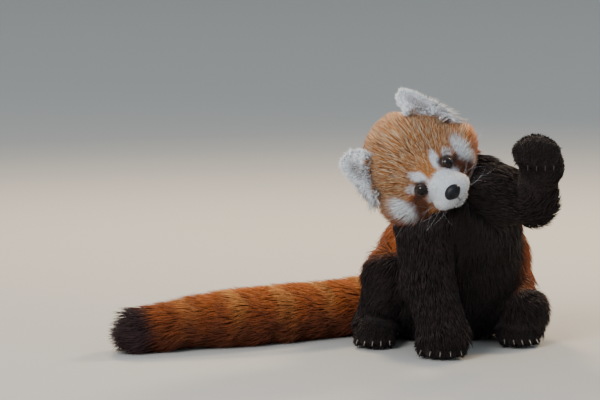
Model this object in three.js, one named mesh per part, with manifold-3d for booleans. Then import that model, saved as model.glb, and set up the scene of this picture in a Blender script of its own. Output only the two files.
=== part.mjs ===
// A red panda at life size, in millimetres, with Z up. It sits on its rump with its head cocked to its right,
// its right forepaw planted between the hind feet, its left forepaw raised in a loose fist and its tail laid
// along the ground to its right. It looks along -Y, so its left is +X where the head isn't turned.
import * as THREE from "three";
import { mergeVertices } from "three/addons/utils/BufferGeometryUtils.js";
import Module from "manifold-3d";

const wasm = await Module();
wasm.setup();

// Driving dimensions. Radii reach to the outside of the coat.
const GAP = 0.3; // clearance between neighbouring pieces
const V = (x, y, z) => new THREE.Vector3(x, y, z);
const degrees = THREE.MathUtils.degToRad;

const BODY_TURN = 22; // degrees that the trunk is turned to the animal's left
const PELVIS = { centre: V(8, 186, 78), radii: V(105, 86, 82) };
const BELLY = { centre: V(18, 148, 114), radii: V(104, 80, 86) };
const CHEST = { centre: V(28, 104, 172), radii: V(82, 60, 68) };

const NECK = { from: V(30, 96, 192), to: V(-28, 80, 236), thick: 60, thin: 61 };

const HEAD = { centre: V(-21, 44, 243), roll: -47.5, nod: 24, lift: -9.5 };
const EYE = { across: 24.6, up: 2, radius: 9.2, shown: 0.42, look: V(0.42, -1, 0.12) };
const LID = { tube: 2, forward: 2.6, wide: 1.08, tall: 0.8, slant: 30 };
const NOSE = { forward: 80, up: -19, radii: V(11, 7, 8.5) };
const NOSTRIL = { across: 5.2, forward: 5.2, down: 1, radii: [2.6, 4, 1.9], turn: 35 };
const EAR = { inner: V(36, 12, 70), outer: V(75, 12, 13), thick: 5.5, cup: 13, wide: 1.16, narrowing: 0.42 };
const EAR_TIPS = { left: V(55, 4, 97), right: V(70, 4, 90) }; // the right ear is held further out

const RIGHT_ARM = {
  shoulder: V(-20, 66, 176),
  elbow: V(-22, 44, 98),
  wrist: V(0, 16, 34),
  thick: [45, 39, 35],
};
const LEFT_ARM = {
  shoulder: V(50, 80, 214),
  elbow: V(118, 56, 200),
  wrist: V(130, 18, 250),
  thick: [46, 33, 28],
};
const RIGHT_LEG = {
  hip: V(-48, 160, 72),
  knee: V(-70, 108, 92),
  heel: V(-84, 138, 30),
  thick: [52, 34, 31],
};
const LEFT_LEG = {
  hip: V(70, 184, 64),
  knee: V(108, 136, 42),
  heel: V(98, 156, 30),
  thick: [56, 36, 32],
};

const RIGHT_HIND_FOOT = { ankle: V(-84, 132, 0), turn: -4, length: 62, width: 31, toe: 9.5 };
const LEFT_HIND_FOOT = { ankle: V(98, 150, 0), turn: 8, length: 62, width: 31, toe: 9.5 };
const RIGHT_FORE_FOOT = { ankle: V(3, 20, 0), turn: -4, length: 32, width: 37, toe: 10 };
const TOES = 5;
const CLAW = { length: 16, thick: 3.4, drop: 0.5, sunk: 6 };

const FIST = { centre: V(122, 2, 270), radii: V(33, 25, 24), wrist: 24, digit: 8.6, spread: 12.6 };
// Each digit sits back and down from the middle one by its arch.
const KNUCKLE = { forward: 15, up: 14, arch: [2.5, 3] };
const FINGERTIP = { forward: 21, down: 10, arch: 3, gather: 0.12 };
const TOE_ARCH = 3.2; // how much further back the outer toes sit

const TAIL_ROUTE = [
  V(-14, 244, 54),
  V(-70, 238, 40),
  V(-124, 207, 36),
  V(-190, 159, 36),
  V(-254, 115, 36),
  V(-330, 72, 35),
  V(-408, 34, 29),
];
const TAIL_ROOT = 30; // radius of the tail at the rump
const TAIL_THICK = 38; // radius of the tail at its fullest
const TAIL_END = 29; // radius at the last point of its route

// Locks of the long coat: they start sunk in a core that reaches half way out and end at the coat's outline.
const TAIL_LOCK = { length: 66, width: 26, thick: 4.5, depth: 11, row: 52, around: 7 };
const BODY_LOCK = { length: 76, width: 46, thick: 5, depth: 11, apart: 58 };
const RUFF_LOCK = { length: 40, width: 24, thick: 4.5, depth: 5, reach: 7 };
const FRINGE = { length: 25, width: 13, thick: 2.2, locks: 7 };

// A field gives the distance in millimetres from a point to a surface, negative inside it.
function bone(a, b, thickA, thickB) {
  const along = b.clone().sub(a);
  const span = along.lengthSq();
  const near = V(0, 0, 0);
  return (p) => {
    const share = THREE.MathUtils.clamp(near.copy(p).sub(a).dot(along) / span, 0, 1);
    return near.copy(a).addScaledVector(along, share).distanceTo(p) - thickA - (thickB - thickA) * share;
  };
}

function egg(centre, radii, turn = new THREE.Quaternion()) {
  const back = turn.clone().invert();
  const q = V(0, 0, 0);
  return (p) => {
    q.copy(p).sub(centre).applyQuaternion(back).divide(radii);
    const whole = q.length();
    const slope = q.divide(radii).length();
    return slope > 0 ? (whole * (whole - 1)) / slope : -Math.min(radii.x, radii.y, radii.z);
  };
}

// The fields joined, with a fillet of about the given reach where they meet.
function blend(reach, ...fields) {
  return (p) =>
    fields
      .map((field) => field(p))
      .reduce((a, b) => {
        const share = Math.max(reach - Math.abs(a - b), 0) / reach;
        return Math.min(a, b) - (share * share * reach) / 4;
      });
}

// Only the places of a geometry's corners, with those that coincide made one.
function bare(geometry) {
  const plain = new THREE.BufferGeometry();
  plain.setAttribute("position", geometry.getAttribute("position").clone());
  plain.setIndex(geometry.index ? geometry.index.clone() : null);
  return mergeVertices(plain, 1e-4);
}

function solidOf(geometry) {
  const closed = bare(geometry);
  const corners = Array.from(closed.index.array);
  const kept = [];
  for (let i = 0; i < corners.length; i += 3) {
    const [a, b, c] = corners.slice(i, i + 3);
    if (a !== b && b !== c && c !== a) kept.push(a, b, c);
  }
  const vertProperties = closed.attributes.position.array;
  return new wasm.Manifold(new wasm.Mesh({ numProp: 3, vertProperties, triVerts: new Uint32Array(kept) }));
}

function geometryOf(solid) {
  const { vertProperties, triVerts, numProp } = solid.getMesh();
  const places = new Float32Array((vertProperties.length / numProp) * 3);
  for (let i = 0; i * numProp < vertProperties.length; i++)
    places.set(vertProperties.subarray(i * numProp, i * numProp + 3), i * 3);
  const geometry = new THREE.BufferGeometry();
  geometry.setAttribute("position", new THREE.BufferAttribute(places, 3));
  geometry.setIndex(new THREE.BufferAttribute(triVerts, 1));
  return geometry;
}

const moved = (solid, matrix) => solid.transform(matrix.toArray());
const largest = (solid) => solid.decompose().reduce((a, b) => (a.volume() > b.volume() ? a : b));
const onFloor = (solid) => solid.trimByPlane([0, 0, 1], 0);

// A ray from a spine: along runs from -0.5 to 0.5 over the spine's length, and past that over its ends.
function rayFrom(spine, up, across, along, over) {
  const onAxis = THREE.MathUtils.clamp(along, -0.5, 0.5);
  const tangent = spine.getTangentAt(onAxis + 0.5);
  const side = V(0, 0, 0).crossVectors(up, tangent).normalize();
  const top = V(0, 0, 0).crossVectors(side, tangent);
  const way = side.multiplyScalar(across).addScaledVector(tangent, along - onAxis).addScaledVector(top, over);
  return { start: spine.getPointAt(onAxis + 0.5), way: way.normalize(), tangent };
}

// Where a ray leaves the field's surface, or the surface that lies the given level outside it.
function meet(field, { start, way }, level = 0) {
  const stride = 3;
  const reach = 150;
  const at = (distance) => start.clone().addScaledVector(way, distance);
  let outside = 0;
  while (outside < reach && field(at(outside)) < level) outside += stride;
  let inside = Math.max(outside - stride, 0);
  for (let halving = 0; halving < 12; halving++) {
    const middle = (inside + outside) / 2;
    if (field(at(middle)) < level) inside = middle;
    else outside = middle;
  }
  return at(inside);
}

// The coat's core: inside the outline by the locks' depth, but out at the outline where weight presses it.
const PRESSED = { flat: 4, free: 40 }; // heights above the ground
const core = (field, depth) => (p) => {
  const free = THREE.MathUtils.smoothstep(p.z, PRESSED.flat, PRESSED.free);
  return field(p) + depth * free;
};

// A capsule laid along a spine, with each corner moved out along its own ray to the field's surface.
function wrap(field, spine, { sides, rings, caps = 4, up = V(0, 0, 1), level = 0 }) {
  const shape = bare(new THREE.CapsuleGeometry(1, 1, caps, sides, rings));
  const corners = shape.attributes.position;
  for (let i = 0; i < corners.count; i++) {
    const ray = rayFrom(spine, up, corners.getX(i), corners.getY(i), corners.getZ(i));
    corners.setXYZ(i, ...meet(field, ray, level).toArray());
  }
  return solidOf(shape);
}

// A seeded run of numbers from 0 to 1, so that the coat varies in the same way at each build.
function chance(seed) {
  let state = seed;
  return () => {
    state = (state * 16807) % 2147483647;
    return state / 2147483647;
  };
}

function normalAt(field, p) {
  const [x, y, z] = [V(0.5, 0, 0), V(0, 0.5, 0), V(0, 0, 0.5)].map(
    (step) => field(p.clone().add(step)) - field(p.clone().sub(step)),
  );
  return V(x, y, z).normalize();
}

// A lock of hair: a flat blade through four places, from a broad sunk root to a pointed tip.
const LOCK_SHARES = [0.7, 1, 0.72, 0];
function blade(places, normals, { width, thick }) {
  const cone = bare(new THREE.ConeGeometry(1, 1, 4, 3).translate(0, 0.5, 0));
  const corners = cone.attributes.position;
  for (let i = 0; i < corners.count; i++) {
    const ring = Math.round(corners.getY(i) * 3);
    const onRim = Math.max(1 - ring / 3, 0.01);
    const way = places[Math.min(ring + 1, 3)].clone().sub(places[Math.max(ring - 1, 0)]).normalize();
    const side = V(0, 0, 0).crossVectors(way, normals[ring]).normalize();
    const at = places[ring].clone();
    at.addScaledVector(side, (corners.getX(i) / onRim) * (width / 2) * LOCK_SHARES[ring]);
    at.addScaledVector(normals[ring], (corners.getZ(i) / onRim) * (thick / 2) * LOCK_SHARES[ring]);
    corners.setXYZ(i, ...at.toArray());
  }
  return solidOf(cone);
}

// A lock that follows a field's surface from under it out to its outline, bending as the surface bends.
function lock(field, root, lie, size, random) {
  const length = size.length * (0.85 + 0.3 * random());
  const swing = (random() - 0.5) * 0.5;
  const tip = (size.reach ?? 0) - 2.5 * random();
  const levels = [-size.depth - 5, -size.depth * 0.45, -size.depth * 0.1, tip];
  const at = root.clone();
  const way = lie.clone();
  const places = [];
  const normals = [];
  for (const level of levels) {
    for (let pass = 0; pass < 3; pass++) at.addScaledVector(normalAt(field, at), level - field(at));
    const normal = normalAt(field, at);
    way.addScaledVector(normal, -way.dot(normal)).normalize();
    if (places.length === 0) way.applyAxisAngle(normal, swing);
    places.push(at.clone());
    normals.push(normal);
    at.addScaledVector(way, length / 3);
  }
  return { places, solid: blade(places, normals, size) };
}

const joined = (solid, locks) => wasm.Manifold.union([solid, ...locks.map((each) => each.solid)]);

const line = (a, b) => new THREE.LineCurve3(a, b);

// Trunk: one closed coat over pelvis, belly and chest, turned a little to the animal's left.
const trunkTurn = new THREE.Quaternion().setFromAxisAngle(V(0, 0, 1), degrees(BODY_TURN));
const trunkField = blend(
  34,
  ...[PELVIS, BELLY, CHEST].map(({ centre, radii }) => egg(centre, radii, trunkTurn)),
);
const trunkSpine = line(V(8, 190, 74), V(30, 104, 176));
const BODY_ROUND = 640; // the trunk's girth outside the coat
const trunkStyle = { sides: 22, rings: 6, caps: 5, up: V(0, 1, 0) };
const trunk = (level, field = trunkField) => wrap(field, trunkSpine, { ...trunkStyle, level });
const trunkCore = (level) => trunk(level, core(trunkField, BODY_LOCK.depth));

// The body's locks lie from the shoulders down to the rump, where no limb, neck or head covers them.
function bodyLocks(covers) {
  const random = chance(41);
  const locks = [];
  const turns = [-62, -32, 0, 0, 0, 0, 32].map(degrees); // up the round rump, the flanks and the shoulders
  const ups = [-0.5, -0.5, -0.5, -0.15, 0.18, 0.5, 0.5];
  turns.forEach((turn, row) => {
    const count = Math.round((BODY_ROUND * Math.cos(turn)) / BODY_LOCK.apart);
    for (let i = 0; i < count; i++) {
      const angle = ((i + (row % 2) / 2) / count) * Math.PI * 2;
      const [x, z] = [Math.cos(angle) * Math.cos(turn), Math.sin(angle) * Math.cos(turn)];
      const ray = rayFrom(trunkSpine, trunkStyle.up, x, ups[row] + Math.sin(turn), z);
      const root = meet(trunkField, ray, -BODY_LOCK.depth);
      const made = lock(trunkField, root, ray.tangent.clone().negate(), BODY_LOCK, random);
      const covered = covers.some((field) => field(made.places[1]) < 6 || field(made.places[2]) < 2);
      if (!covered && made.places[3].z > 26) locks.push(made);
    }
  });
  return locks;
}

const neckField = bone(NECK.from, NECK.to, NECK.thick, NECK.thin);
const neck = (level) => wrap(neckField, line(NECK.from, NECK.to), { sides: 14, rings: 1, caps: 4, level });

// Head, in its own frame: the animal's left is +X, its nose points along -Y and its crown is at +Z.
const headPose = new THREE.Matrix4()
  .makeTranslation(HEAD.centre)
  .multiply(new THREE.Matrix4().makeRotationX(degrees(HEAD.lift)))
  .multiply(new THREE.Matrix4().makeRotationY(degrees(HEAD.roll)))
  .multiply(new THREE.Matrix4().makeRotationX(degrees(HEAD.nod)));
const bothSides = (make) => [1, -1].map(make);
const headField = blend(
  13,
  egg(V(0, 18, 12), V(68, 64, 67)),
  egg(V(0, -16, 12), V(44, 32, 34)),
  ...bothSides((side) => egg(V(42 * side, 0, -12), V(33, 37, 35))),
  bone(V(0, -30, -12), V(0, -60, -18), 29, 19),
  ...bothSides((side) => egg(V(13 * side, -58, -26), V(17, 17, 14))),
  bone(V(0, -26, -34), V(0, -56, -38), 20, 11),
);
const headShape = (level) =>
  wrap(headField, line(V(0, 8, 4), V(0, -42, -16)), { sides: 28, rings: 5, caps: 8, level });

// The ruff: locks that sweep out and back from the cheeks, in two ranks on each side.
function ruff(side, random) {
  const ranks = [
    { count: 5, turn: [-62, 10], back: 8 },
    { count: 4, turn: [-54, 2], back: 26 },
  ];
  return ranks.flatMap(({ count, turn, back }) =>
    Array.from({ length: count }, (_, i) => {
      const angle = degrees(THREE.MathUtils.lerp(...turn, i / (count - 1)));
      const way = V(side * Math.cos(angle), 0, Math.sin(angle));
      const root = meet(headField, { start: V(0, back, -4), way }, -RUFF_LOCK.depth);
      const lie = V(side * (0.25 + 0.3 * Math.cos(angle)), 0.62, -0.72);
      return lock(headField, root, lie, RUFF_LOCK, random);
    }),
  );
}

// The point of the head's coat that a ray from inside it meets.
function onHead(from, towards) {
  const ray = towards.clone().sub(from).normalize();
  const at = from.clone();
  while (headField(at) < 0) at.addScaledVector(ray, 0.25);
  return { at, ray };
}

// Eyes: balls sunk in sockets, each looking forward and a little outward.
const eyeSpots = bothSides((side) => {
  const { at } = onHead(V(EYE.across * side, 0, EYE.up), V(EYE.across * side, -100, EYE.up));
  const look = EYE.look.clone().multiply(V(side, 1, 1)).normalize();
  return { side, look, centre: at.addScaledVector(look, -EYE.radius * (1 - EYE.shown)) };
});
const eyeball = ({ centre }, level) =>
  solidOf(new THREE.SphereGeometry(EYE.radius + level, 12, 8).translate(centre.x, centre.y, centre.z));

// The rim of the lids: a flattened ring, its inner corner set lower than its outer one.
function lids({ centre, look, side }) {
  const ring = bare(new THREE.TorusGeometry(EYE.radius - 0.4, LID.tube, 5, 14));
  ring.scale(LID.wide, LID.tall, 1);
  ring.rotateZ(degrees(-LID.slant * side));
  ring.applyQuaternion(new THREE.Quaternion().setFromUnitVectors(V(0, 0, 1), look));
  const middle = look.clone().multiplyScalar(LID.forward).add(centre);
  ring.translate(middle.x, middle.y, middle.z);
  return solidOf(ring);
}

const noseAt = V(0, -NOSE.forward, NOSE.up);
const nosePad = (level) => {
  const pad = new THREE.SphereGeometry(1, 12, 8);
  pad.scale(NOSE.radii.x + level, NOSE.radii.y + level, NOSE.radii.z + level);
  return solidOf(pad.translate(noseAt.x, noseAt.y, noseAt.z));
};
const nostrils = bothSides((side) => {
  const hole = new THREE.SphereGeometry(1, 7, 4).scale(...NOSTRIL.radii);
  hole.rotateY(degrees(NOSTRIL.turn * side));
  return solidOf(hole.translate(NOSTRIL.across * side, noseAt.y - NOSTRIL.forward, noseAt.z - NOSTRIL.down));
});

// The mouth: the jaw is the part of the head under a curved slot from the lips back to the corners.
function underMouth(slot) {
  const profile = new THREE.Shape();
  profile.moveTo(-90, -35 + slot);
  profile.quadraticCurveTo(-66, -30 + slot, -50, -36 + slot);
  profile.lineTo(-40 + slot, -38 + slot);
  profile.lineTo(-40 + slot, -80);
  profile.lineTo(-90, -80);
  profile.closePath();
  const wedge = new THREE.ExtrudeGeometry(profile, { depth: 80, bevelEnabled: false, curveSegments: 8 });
  wedge.translate(0, 0, -40);
  wedge.applyMatrix4(new THREE.Matrix4().makeBasis(V(0, 1, 0), V(0, 0, 1), V(1, 0, 0)));
  return solidOf(wedge);
}

// An ear: a leaf of skin and fur, wide at the root, pointed at the tip and curled forward at both edges,
// with a fringe of long locks down its outer edge.
function ear(side) {
  const leaf = bare(new THREE.SphereGeometry(1, 12, 8));
  const root = EAR.inner.clone().add(EAR.outer).multiplyScalar(0.5);
  const halfRoot = EAR.outer.clone().sub(EAR.inner).multiplyScalar(0.5);
  const rise = EAR_TIPS[side > 0 ? "left" : "right"].clone().sub(root);
  const front = V(0, 0, 0).crossVectors(halfRoot, rise).normalize();
  const onLeaf = (x, y, z) => {
    const wide = x * (EAR.wide - EAR.narrowing * y);
    const at = root.clone().addScaledVector(halfRoot, wide).addScaledVector(rise, (y + 1) * 0.66 - 0.32);
    return at.addScaledVector(front, EAR.thick * z + EAR.cup * (wide * wide - 0.5));
  };
  const corners = leaf.attributes.position;
  for (let i = 0; i < corners.count; i++)
    corners.setXYZ(i, ...onLeaf(corners.getX(i), corners.getY(i), corners.getZ(i)).toArray());
  const random = chance(7 + side);
  const fringe = Array.from({ length: FRINGE.locks }, (_, i) => {
    const angle = degrees(-14 + (112 * i) / (FRINGE.locks - 1));
    const start = onLeaf(Math.cos(angle) * 0.8, Math.sin(angle) * 0.8, 0);
    const edge = onLeaf(Math.cos(angle), Math.sin(angle), 0);
    const way = edge.clone().sub(start).normalize().addScaledVector(halfRoot, 0.6 / halfRoot.length());
    const step = (FRINGE.length * (0.85 + 0.3 * random())) / 3;
    const places = [0, 1, 2, 3].map((k) =>
      start.clone().addScaledVector(way, step * k).add(V(0, 0.5 * k * k, -0.5 * k * k)),
    );
    return { solid: blade(places, [front, front, front, front], FRINGE) };
  });
  const left = joined(solidOf(leaf), fringe);
  return side > 0 ? left : left.mirror([1, 0, 0]);
}

// A limb: each length of coat follows its own bone, and planes through the joints part one from the next.
function limb({ shoulder, hip, elbow, knee, wrist, heel, thick }) {
  const [root, bend, end] = [shoulder ?? hip, elbow ?? knee, wrist ?? heel];
  const upperWay = bend.clone().sub(root).normalize();
  const lowerWay = end.clone().sub(bend).normalize();
  const across = upperWay.clone().add(lowerWay).normalize();
  const part = (a, b, from, to) => (level) =>
    wrap(bone(a, b, from, to), line(a, b), { sides: 14, rings: 1, caps: 3, up: V(0.2, 1, 0.1), level });
  const upper = part(root, bend, thick[0], thick[1]);
  const lower = part(bend, end, thick[1], thick[2]);
  const fields = [bone(root, bend, thick[0], thick[1]), bone(bend, end, thick[1], thick[2])];
  return { root, bend, end, across, lowerWay, upper, lower, fields };
}
const keepBefore = (solid, at, way) =>
  solid.trimByPlane(way.clone().negate().toArray(), -at.dot(way) + GAP / 2);
const keepAfter = (solid, at, way) => solid.trimByPlane(way.toArray(), at.dot(way) + GAP / 2);

// A foot flat on the ground, in its own frame: the ankle is over the origin and the toes point along -Y.
function foot({ ankle, turn, length, width, toe }) {
  const pose = new THREE.Matrix4().makeRotationZ(degrees(turn)).setPosition(ankle);
  const spread = (width * 2 - toe) / TOES;
  const toes = Array.from({ length: TOES }, (_, i) => {
    const place = i - (TOES - 1) / 2;
    return V(place * spread, -length + TOE_ARCH * place * place, toe);
  });
  const field = blend(
    9,
    egg(V(0, -length * 0.45, 17), V(width, length * 0.62, 20)),
    bone(V(0, 4, 24), V(0, -length * 0.4, 18), width * 0.85, width * 0.6),
    ...toes.map((at) => bone(at.clone().multiply(V(0.8, 0.6, 1.4)), at, toe + 2, toe)),
  );
  const shape = (level) =>
    moved(
      wrap(field, line(V(0, -6, 20), V(0, -length * 0.62, 14)), {
        sides: 18,
        rings: 2,
        caps: 5,
        up: V(0, 0, 1),
        level,
      }),
      pose,
    );
  const back = pose.clone().invert();
  const cover = (p) => field(p.clone().applyMatrix4(back));
  const claws = toes.map((at) => {
    const claw = clawAlong(at.clone().add(V(0, -toe + CLAW.sunk, 1)), V(at.x * 0.006, -1, 0.1));
    return moved(claw, pose);
  });
  return { shape, claws, cover };
}

// A claw: a flattened cone that hooks downward as it leaves the toe.
function clawAlong(root, way) {
  const cone = bare(new THREE.ConeGeometry(1, 1, 5, 3).translate(0, 0.5, 0));
  const corners = cone.attributes.position;
  for (let i = 0; i < corners.count; i++) {
    const [x, y, z] = [corners.getX(i), corners.getY(i), corners.getZ(i)];
    const dip = -CLAW.length * CLAW.drop * y * y;
    corners.setXYZ(i, x * CLAW.thick * 0.8, y * CLAW.length, z * CLAW.thick * 1.2 + dip);
  }
  const forward = way.clone().normalize();
  const side = V(0, 0, 0).crossVectors(forward, V(0, 0, 1)).normalize();
  const over = V(0, 0, 0).crossVectors(side, forward);
  cone.applyMatrix4(new THREE.Matrix4().makeBasis(side, forward, over).setPosition(root));
  return solidOf(cone);
}

// The raised forepaw: a loose fist with the digits curled down in front of the palm.
function fist() {
  const digits = Array.from({ length: TOES }, (_, i) => {
    const x = FIST.centre.x + (i - (TOES - 1) / 2) * FIST.spread;
    const arch = Math.abs(i - (TOES - 1) / 2);
    const inward = (FIST.centre.x - x) * FINGERTIP.gather;
    const { y, z } = FIST.centre;
    return {
      knuckle: V(x, y - KNUCKLE.forward + arch * KNUCKLE.arch[0], z + KNUCKLE.up - arch * KNUCKLE.arch[1]),
      tip: V(x + inward, y - FINGERTIP.forward + arch * FINGERTIP.arch, z - FINGERTIP.down),
    };
  });
  const field = blend(
    6,
    egg(FIST.centre, FIST.radii),
    bone(LEFT_ARM.wrist, FIST.centre, LEFT_ARM.thick[2], FIST.wrist),
    ...digits.map(({ knuckle, tip }) => bone(knuckle, tip, FIST.digit + 1, FIST.digit)),
  );
  const spine = line(FIST.centre.clone().add(V(5, 8, -6)), FIST.centre.clone().add(V(-2, -6, 2)));
  const shape = (level) => wrap(field, spine, { sides: 20, rings: 1, caps: 5, level });
  const claws = digits.map(({ tip }) =>
    clawAlong(tip.clone().add(V(0, -1, -FIST.digit + CLAW.sunk)), V(0, -0.35, -1)),
  );
  return { shape, claws };
}

// Tail: a full brush laid along the ground, rounded off at its dark end.
const tailSpine = new THREE.CatmullRomCurve3(TAIL_ROUTE, false, "centripetal");
const tailThick = (share) => {
  const swell = THREE.MathUtils.smoothstep(share, 0, 0.22);
  const taper = THREE.MathUtils.smoothstep(share, 0.62, 1);
  return THREE.MathUtils.lerp(TAIL_ROOT, TAIL_THICK, swell) - (TAIL_THICK - TAIL_END) * taper;
};
const TAIL_STEPS = 14;
const tailField = blend(
  6,
  ...Array.from({ length: TAIL_STEPS }, (_, i) => {
    const [from, to] = [i / TAIL_STEPS, (i + 1) / TAIL_STEPS];
    return bone(tailSpine.getPointAt(from), tailSpine.getPointAt(to), tailThick(from), tailThick(to));
  }),
);
const tailCore = (level) =>
  wrap(core(tailField, TAIL_LOCK.depth), tailSpine, { sides: 12, rings: 11, caps: 3, level });

// The tail's locks lie from its root to its tip, row after row, each row set half a lock round from the last.
function tailLocks(covers) {
  const random = chance(107);
  const rows = Math.round(tailSpine.getLength() / TAIL_LOCK.row);
  const locks = [];
  for (let row = 0; row <= rows; row++) {
    for (let i = 0; i < TAIL_LOCK.around; i++) {
      const angle = ((i + (row % 2) / 2) / TAIL_LOCK.around) * Math.PI * 2;
      const along = 0.06 + (0.86 * row) / rows - 0.5;
      const ray = rayFrom(tailSpine, V(0, 0, 1), Math.cos(angle), along, Math.sin(angle));
      const root = meet(tailField, ray, -TAIL_LOCK.depth);
      const made = lock(tailField, root, ray.tangent.clone(), TAIL_LOCK, random);
      const covered = covers.some((field) => field(made.places[1]) < 3 || field(made.places[3]) < 1);
      if (!covered && made.places[3].z > 12) locks.push(made);
    }
  }
  return locks;
}

// Materials, as the photographed animal's coat, eyes, nose and claws show.
const coat = (color) => new THREE.MeshStandardMaterial({ color, roughness: 0.95, metalness: 0 });
const RUSSET = coat(0xa5521f);
const BLACK_BROWN = coat(0x1b1413);
const FACE = coat(0xb07a45);
const WHITE = coat(0xe8e6e4);
const TAIL_RED = coat(0xb0561c);
const WET_BLACK = new THREE.MeshStandardMaterial({ color: 0x15151b, roughness: 0.35, metalness: 0 });
const EYE_BROWN = new THREE.MeshStandardMaterial({ color: 0x1c100b, roughness: 0.08, metalness: 0 });
const HORN = new THREE.MeshStandardMaterial({ color: 0xd9d2c4, roughness: 0.4, metalness: 0 });

const animal = new THREE.Group();
function add(name, solid, material) {
  const mesh = new THREE.Mesh(geometryOf(largest(solid)), material);
  mesh.name = name;
  animal.add(mesh);
}

// Each piece is cut clear of the pieces that it grows from or presses against.
const without = (solid, ...others) => others.reduce((left, other) => left.subtract(other), solid);

const jawZone = underMouth(0);
const aboveMouth = underMouth(GAP * 2);
const headClear = moved(headShape(GAP), headPose);
const trunkClear = trunkCore(GAP);
const LOCK_STANDS = 4; // how far a lock may stand outside the coat's outline
const trunkAllClear = trunk(LOCK_STANDS);
const neckClear = neck(GAP);
const eyesClear = eyeSpots.map((eye) => eyeball(eye, GAP));
const lidRims = eyeSpots.map(lids);
const arms = { left: limb(LEFT_ARM), right: limb(RIGHT_ARM) };
const legs = { left: limb(LEFT_LEG), right: limb(RIGHT_LEG) };
const feet = { left: foot(LEFT_HIND_FOOT), right: foot(RIGHT_HIND_FOOT) };
const limbs = [arms.left, arms.right, legs.left, legs.right];
const limbClear = limbs.flatMap((each) => [each.upper(GAP), each.lower(GAP)]);
const footClear = { left: feet.left.shape(GAP), right: feet.right.shape(GAP) };

const backFromHead = headPose.clone().invert();
const headCover = (p) => headField(p.clone().applyMatrix4(backFromHead));
const limbCovers = [...limbs.flatMap((each) => each.fields), feet.left.cover, feet.right.cover];

const ruffRandom = chance(23);
const ruffs = bothSides((side) => ruff(side, ruffRandom)).flat();
const toHeadFrame = (solid) => moved(solid, backFromHead);
const ruffCuts = [trunkAllClear, neckClear, ...limbClear].map(toHeadFrame);
const clearRuffs = ruffs.map(({ solid }) => ({ solid: without(solid, ...ruffCuts) }));
const skull = without(
  joined(
    lidRims.reduce((all, rim) => all.add(rim), headShape(0)),
    clearRuffs,
  ),
  ...eyesClear,
  nosePad(GAP),
);
add("head", moved(without(skull, aboveMouth), headPose), FACE);
add("jaw", moved(skull.intersect(jawZone), headPose), WHITE);
add("nose", moved(without(nosePad(0), ...nostrils), headPose), WET_BLACK);
eyeSpots.forEach((eye) => {
  add(eye.side > 0 ? "eye_left" : "eye_right", moved(eyeball(eye, 0), headPose), EYE_BROWN);
});
bothSides((side) => {
  const cupped = without(ear(side), headShape(GAP), toHeadFrame(neckClear));
  add(side > 0 ? "ear_left" : "ear_right", moved(cupped, headPose), WHITE);
});

const coveredBody = bodyLocks([...limbCovers, neckField, headCover, tailField]);
const bodyCuts = [headClear, neckClear, tailCore(GAP), ...limbClear, footClear.left, footClear.right];
const clearBody = coveredBody.map(({ solid }) => ({ solid: without(solid, ...bodyCuts) }));
add("torso", onFloor(joined(without(trunkCore(0), headClear), clearBody)), RUSSET);
add("neck", without(neck(0), headClear, trunkClear), RUSSET);

const rightForePaw = foot(RIGHT_FORE_FOOT);
const leftForePaw = fist();
for (const [side, arm] of Object.entries(arms)) {
  const upper = without(arm.upper(0), headClear, trunkClear, neckClear);
  add("upper_arm_" + side, keepBefore(upper, arm.bend, arm.across), BLACK_BROWN);
  const lower = keepAfter(without(arm.lower(0), trunkClear), arm.bend, arm.across);
  add("forearm_" + side, keepBefore(lower, arm.end, arm.lowerWay), BLACK_BROWN);
  const paw = side === "left" ? leftForePaw : rightForePaw;
  const pawAndWrist = paw.shape(0).add(arm.lower(0));
  add("forepaw_" + side, onFloor(keepAfter(pawAndWrist, arm.end, arm.lowerWay)), BLACK_BROWN);
  paw.claws.forEach((claw, i) => {
    add(`forepaw_${side}_claw_${i + 1}`, onFloor(without(claw, paw.shape(GAP))), HORN);
  });
}

const rightArmClear = [arms.right.upper(GAP), arms.right.lower(GAP)];
for (const [side, leg] of Object.entries(legs)) {
  const thigh = without(leg.upper(0), trunkClear, ...rightArmClear, footClear[side]);
  add("thigh_" + side, onFloor(keepBefore(thigh, leg.bend, leg.across)), BLACK_BROWN);
  const shank = keepAfter(leg.lower(0), leg.bend, leg.across);
  add("shank_" + side, onFloor(without(shank, trunkClear, ...rightArmClear, footClear[side])), BLACK_BROWN);
  add("hind_foot_" + side, onFloor(without(feet[side].shape(0), trunkClear, ...rightArmClear)), BLACK_BROWN);
  feet[side].claws.forEach((claw, i) => {
    add(`hind_foot_${side}_claw_${i + 1}`, onFloor(without(claw, footClear[side])), HORN);
  });
}

const rightLegClear = [legs.right.upper(GAP), legs.right.lower(GAP)];
const tailCuts = [trunkClear, ...rightLegClear];
const clearTail = tailLocks(legs.right.fields).map(({ solid }) => ({ solid: without(solid, trunkAllClear) }));
add("tail", onFloor(without(joined(tailCore(0), clearTail), ...tailCuts)), TAIL_RED);

// The origin is under the middle of the whole animal, on the ground.
const model = new THREE.Group();
model.add(animal);
const box = new THREE.Box3().setFromObject(animal);
const middle = box.getCenter(V(0, 0, 0));
animal.position.set(-middle.x, -middle.y, -box.min.z);

export default model;
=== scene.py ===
import bmesh
import bpy
import numpy as np
from mathutils import Matrix, Vector


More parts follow.
